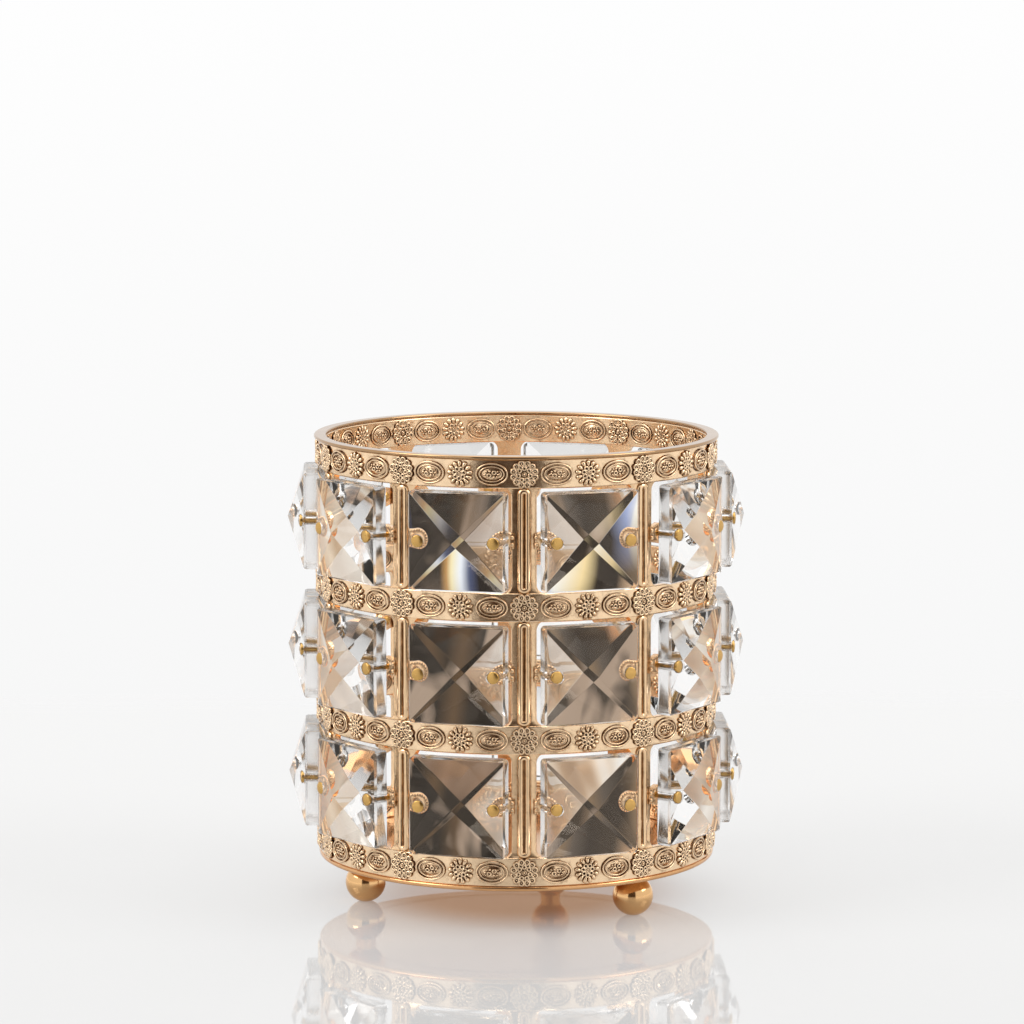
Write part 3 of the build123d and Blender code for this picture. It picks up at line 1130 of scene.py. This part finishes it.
def soft_lamp(name, place, size, power):
    """A large square lamp that faces the cup."""
    deselect()
    bpy.ops.object.light_add(type="AREA", location=place)
    lamp = bpy.context.object
    lamp.name = name
    lamp.data.size = size
    lamp.data.energy = power
    aim = Vector(LAMP_AIM) - lamp.location
    lamp.rotation_euler = aim.to_track_quat("-Z", "Y").to_euler()


def flag_material():
    """Matt dark cloth of the flag."""
    material, tree, shader, _, grain = grained_material("Dark Cloth", grain_scale=400.0, patch_scale=6.0)
    dark, less_dark = (0.045, 0.022, 0.010, 1), (0.075, 0.038, 0.018, 1)
    tone = mixed(tree, (-300, 200), (grain, "Variation"), dark, less_dark)
    feed(tree, shader, {"Base Color": tone})
    return material


def hidden_card(name, place, size, material, seen_in):
    """A card that neither the camera nor the light sees, and that shows only in metal or in glass."""
    deselect()
    bpy.ops.mesh.primitive_plane_add(size=1.0)
    bpy.context.object.scale = (*size, 1)
    card = named(name)
    card.data.transform(place)
    card.data.materials.append(material)
    card.visible_camera = False
    card.visible_diffuse = False
    card.visible_shadow = False
    card.visible_glossy = seen_in == "metal"
    card.visible_transmission = seen_in == "glass"


# Painted tones across the glowing card inside the cup, seen through the crystals: millimetres from its
# middle, and a tone

# Painted pale reflections at the left side
SIDE_LEFT = [
    (-44.5, (0.76, 0.65, 0.50)),
    (-40.0, (0.60, 0.45, 0.31)),
    (-37.5, (0.82, 0.73, 0.59)),
    (-35.0, (0.38, 0.26, 0.16)),
    (-31.5, (0.68, 0.54, 0.39)),
    (-29.0, (0.88, 0.82, 0.71)),
    (-26.5, (0.42, 0.28, 0.17)),
]
# Painted pale reflections at the right side
SIDE_RIGHT = [
    (26.5, (0.40, 0.27, 0.17)),
    (29.0, (0.86, 0.82, 0.73)),
    (32.0, (0.56, 0.41, 0.27)),
    (34.5, (0.38, 0.25, 0.15)),
    (37.0, (0.80, 0.71, 0.59)),
    (40.0, (0.58, 0.44, 0.30)),
    (44.5, (0.82, 0.74, 0.63)),
]
# Painted shade across the middle, with a few paler warm tones
PAINTED_SHADE_MIDDLE = [
    (-23.0, (0.024, 0.016, 0.011)),
    (-17.5, (0.014, 0.011, 0.008)),
    (-13.8, (0.110, 0.064, 0.032)),
    (-11.0, (0.024, 0.018, 0.013)),
    (-3.7, (0.014, 0.011, 0.009)),
    (0.0, (0.055, 0.038, 0.026)),
    (3.7, (0.016, 0.012, 0.009)),
    (10.1, (0.036, 0.026, 0.019)),
    (13.3, (0.240, 0.160, 0.092)),
    (15.6, (0.110, 0.088, 0.070)),
    (18.4, (0.040, 0.031, 0.024)),
    (23.0, (0.060, 0.044, 0.031)),
]
# Painted glints in the colours crystal splits light into, with dark between them
STREAKS = [
    (-23.0, (0.019, 0.013, 0.009)),
    (-17.4, (0.022, 0.017, 0.013)),
    (-15.8, (0.55, 0.30, 0.10)),
    (-14.7, (0.95, 0.84, 0.50)),
    (-12.7, (0.90, 0.94, 1.00)),
    (-11.0, (0.09, 0.11, 0.20)),
    (-9.0, (0.018, 0.014, 0.012)),
    (-1.4, (0.034, 0.023, 0.016)),
    (0.0, (0.62, 0.38, 0.15)),
    (0.9, (0.90, 0.84, 0.66)),
    (1.8, (0.30, 0.38, 0.60)),
    (3.7, (0.022, 0.018, 0.016)),
    (9.4, (0.018, 0.013, 0.010)),
    (11.2, (0.40, 0.48, 0.75)),
    (12.4, (1.00, 0.98, 0.90)),
    (16.2, (0.95, 0.74, 0.38)),
    (18.8, (0.022, 0.016, 0.012)),
    (23.0, (0.018, 0.013, 0.010)),
]

# Painted shade of the glowing card over the floor, in mottled tones: share of the noise, and a tone

FLOOR_SHADE_MOTTLES = [
    (0.36, (0.13, 0.08, 0.05)),
    (0.46, (0.26, 0.16, 0.10)),
    (0.54, (0.50, 0.34, 0.22)),
    (0.62, (0.76, 0.62, 0.48)),
    (0.70, (0.90, 0.86, 0.80)),
]


def streaked_card_material():
    """
    A glowing card that paints what the crystals show through them: painted shade in smoky brown with paler
    patches across the middle, painted glints in the colours crystal splits light into above it, and pale warm
    painted reflections at both sides that let a part of what lies behind through.
    """
    material, tree, output, coordinates = new_material("Streaked Card")
    width = GLASS_CARD_SIZE[0]
    parts = node(tree, "ShaderNodeSeparateXYZ", (-900, 0), {"Vector": coordinates})
    across = remapped(tree, (-700, 0), (parts, "X"), old=(-width / 2, width / 2))
    wander = noise(tree, (-900, -250), coordinates, scale=38.0, detail=2.0)
    shift = remapped(tree, (-700, -250), wander, new=(-0.05, 0.05))
    moved = computed(tree, (-500, 0), "ADD", across, shift)
    ramps = []
    for place, middle in (((-200, -100), PAINTED_SHADE_MIDDLE), ((-200, 200), STREAKS)):
        stops = [(0.5 + x * MM / width, tone) for x, tone in SIDE_LEFT + middle + SIDE_RIGHT]
        ramps.append(ramped(tree, place, moved, stops))
    below, above = ramps
    taller = {0: coordinates, 1: (1.0, 1.0, 0.5)}
    stretch = node(tree, "ShaderNodeVectorMath", (-900, -650), taller, operation="MULTIPLY")
    patches = noise(tree, (-700, -650), (stretch, "Vector"), scale=85.0, detail=3.0)
    paler = remapped(tree, (-500, -650), patches, old=(0.54, 0.61), new=(0.0, 0.85))
    pale_brown = (0.46, 0.34, 0.25, 1)
    # Painted shade below the glints, with paler patches
    painted_below = mixed(tree, (100, -300), paler, below, pale_brown)
    rise = remapped(tree, (-500, -400), (parts, "Z"), old=STREAK_HEIGHTS)
    glow = node(tree, "ShaderNodeEmission", (600, 0), {"Color": mixed(tree, (300, 0), rise, painted_below, above)})
    aside = computed(tree, (-500, 300), "ABSOLUTE", (parts, "X"))
    edge = SOLID_WIDTH / 2
    cover = remapped(tree, (300, 300), aside, old=(edge, edge + SOLID_FADE), new=(1.0, 0.65))
    clear = node(tree, "ShaderNodeBsdfTransparent", (600, 150))
    blend_inputs = {"Fac": cover, 1: (clear, "BSDF"), 2: (glow, "Emission")}
    blend = node(tree, "ShaderNodeMixShader", (850, 0), blend_inputs)
    feed(tree, output, {"Surface": (blend, "Shader")})
    return material


def painted_floor_shade_material():
    """Painted shade in glowing beige and brown patches, paler towards +X, which the lowest crystals show over
    the bare floor.
    """
    material, tree, output, coordinates = new_material("Mottled Card")
    patches = noise(tree, (-500, 0), coordinates, scale=75.0, detail=2.0)
    parts = node(tree, "ShaderNodeSeparateXYZ", (-500, 250), {"Vector": coordinates})
    paler_per_metre = 6.0
    lean = computed(tree, (-320, 100), "MULTIPLY_ADD", (parts, "X"), paler_per_metre, patches)
    tones = ramped(tree, (-150, 0), lean, FLOOR_SHADE_MOTTLES)
    glow = node(tree, "ShaderNodeEmission", (250, 0), {"Color": tones})
    feed(tree, output, {"Surface": (glow, "Emission")})
    return material


def photo_camera(stage):
    """The camera at the place from which the cup is seen."""
    deselect()
    bpy.ops.object.camera_add()
    camera = bpy.context.object
    camera.name = "photo_camera"
    azimuth = stage.camera_azimuth
    camera.location = (
        -stage.camera_distance * math.sin(azimuth),
        -stage.camera_distance * math.cos(azimuth),
        stage.camera_height,
    )
    camera.rotation_euler = (math.pi / 2 - stage.camera_pitch, 0, -azimuth)
    camera.data.sensor_width = SENSOR_WIDTH
    camera.data.lens = stage.focal_pixels / stage.image_pixels * camera.data.sensor_width
    camera.data.shift_x = (stage.image_pixels / 2 - stage.axis_pixel) / stage.image_pixels
    return camera


class BRUSHCUP_OT_stage(bpy.types.Operator):
    """Set the table, the cards, the lamps, the surroundings and the camera"""

    bl_idname = "brushcup.stage"
    bl_label = "Stage"

    def execute(self, context):
        stage = context.scene.brush_cup_stage
        deselect()
        bpy.ops.mesh.primitive_plane_add(size=1.0)
        depth = stage.table_reach + stage.table_behind
        context.object.scale = (2 * stage.table_reach, depth, 1)
        context.object.location = (0, (stage.table_behind - stage.table_reach) / 2, 0)
        table = named("table")
        floor = context.scene.brush_cup_finishes.floor
        table.data.materials.append(floor_material(floor, stage.table_behind))
        studio_world()
        before_cup = turned(FLAG_TURN) @ upright(FLAG_DISTANCE, FLAG_HEIGHT)
        hidden_card("front_flag", before_cup, FLAG_SIZE, flag_material(), "metal")
        # The glass card paints shade, glints and reflections behind the crystals
        in_cup = upright(0, GLASS_CARD_HEIGHT)
        hidden_card("glass_card", in_cup, GLASS_CARD_SIZE, streaked_card_material(), "glass")
        # The floor card paints shade on the cup's floor, seen only through the crystals
        over_floor = Matrix.Translation((0, 0, PLATE_HIGH.z + FLOOR_CARD_LIFT))
        hidden_card("floor_card", over_floor, FLOOR_CARD_SIZE, painted_floor_shade_material(), "glass")
        for lamp in LAMPS:
            soft_lamp(*lamp)
        context.scene.camera = photo_camera(stage)
        context.scene.view_settings.view_transform = "Standard"
        return {"FINISHED"}


PROPERTY_GROUPS = {
    "brush_cup_cage": CageSizes,
    "brush_cup_crystals": CrystalSizes,
    "brush_cup_feet": FootSizes,
    "brush_cup_finishes": Finishes,
    "brush_cup_stage": StageSizes,
}
OPERATORS = [
    BRUSHCUP_OT_bands,
    BRUSHCUP_OT_lip,
    BRUSHCUP_OT_bars,
    BRUSHCUP_OT_crystals,
    BRUSHCUP_OT_pins,
    BRUSHCUP_OT_floor_plate,
    BRUSHCUP_OT_feet,
    BRUSHCUP_OT_screws,
    BRUSHCUP_OT_stage,
]


class BRUSHCUP_PT_panel(bpy.types.Panel):
    """Sizes, finishes and steps of the brush cup"""

    bl_idname = "BRUSHCUP_PT_panel"
    bl_label = "Brush Cup"
    bl_space_type = "VIEW_3D"
    bl_region_type = "UI"
    bl_category = "Brush Cup"

    def draw(self, context):
        for key, group in PROPERTY_GROUPS.items():
            box = self.layout.box()
            box.label(text=group.__doc__)
            for name in group.__annotations__:
                box.prop(getattr(context.scene, key), name)
        for operator in OPERATORS:
            self.layout.operator(operator.bl_idname)


def register():
    for key, group in PROPERTY_GROUPS.items():
        bpy.utils.register_class(group)
        setattr(bpy.types.Scene, key, bpy.props.PointerProperty(type=group))
    for kind in OPERATORS + [BRUSHCUP_PT_panel]:
        bpy.utils.register_class(kind)


def unregister():
    for kind in reversed(OPERATORS + [BRUSHCUP_PT_panel]):
        bpy.utils.unregister_class(kind)
    for key, group in PROPERTY_GROUPS.items():
        delattr(bpy.types.Scene, key)
        bpy.utils.unregister_class(group)


def main():
    """Makes every piece and the stage."""
    register()
    for operator in OPERATORS:
        group, name = operator.bl_idname.split(".")
        getattr(getattr(bpy.ops, group), name)()


if __name__ == "__main__":
    main()
